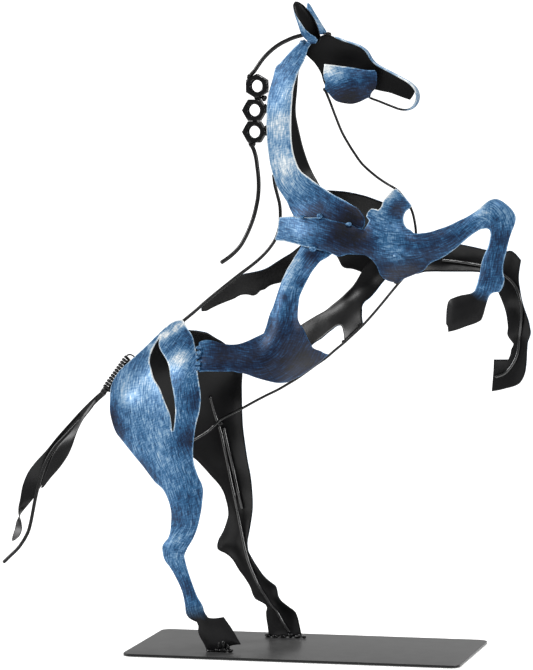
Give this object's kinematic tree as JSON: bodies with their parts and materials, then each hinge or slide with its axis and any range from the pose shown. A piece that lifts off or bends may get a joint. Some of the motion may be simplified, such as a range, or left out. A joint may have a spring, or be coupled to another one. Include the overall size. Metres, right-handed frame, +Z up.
{
  "type": "metal horse statue",
  "caption": "Rearing horse of bowed sheet metal and bent rod, dry-brushed blue over black, standing by its hind hooves on a flat base plate.",
  "frame": {"origin": "middle of the base plate's underside", "axes": "+X the way the horse faces, +Y to the horse's left side, +Z up"},
  "size_m": [0.4096, 0.13, 0.4953],
  "materials": {
    "blue_steel": "satin, dry-brushed light blue over navy outside, black inside and at the hooves",
    "black_steel": "semi-gloss black",
    "base_paint": "satin dark grey"
  },
  "bodies": {
    "root": {"base_plate": "base_paint", "right_haunch": "blue_steel", "left_haunch": "blue_steel", "right_flank": "blue_steel", "left_back_rib": "blue_steel", "left_belly_band": "blue_steel", "right_shoulder": "blue_steel", "left_shoulder": "blue_steel", "right_neck": "blue_steel", "left_neck": "blue_steel", "head_plate": "blue_steel", "cheek_plate": "blue_steel", "muzzle_strip": "blue_steel", "right_ear": "blue_steel", "left_ear": "blue_steel", "mane_rod_upper": "black_steel", "mane_nut_1": "black_steel", "mane_nut_2": "black_steel", "mane_nut_3": "black_steel", "mane_rod_lower": "black_steel", "spine_rod": "black_steel", "belly_rod": "black_steel", "hind_leg_rod_top": "black_steel", "hind_leg_rod_long": "black_steel", "hind_leg_rod_short": "black_steel", "fore_leg_rod": "black_steel", "tail_spring": "black_steel", "tail_strip_back": "black_steel", "tail_strip_front": "black_steel", "tail_rod": "black_steel"}
  },
  "joints": []
}
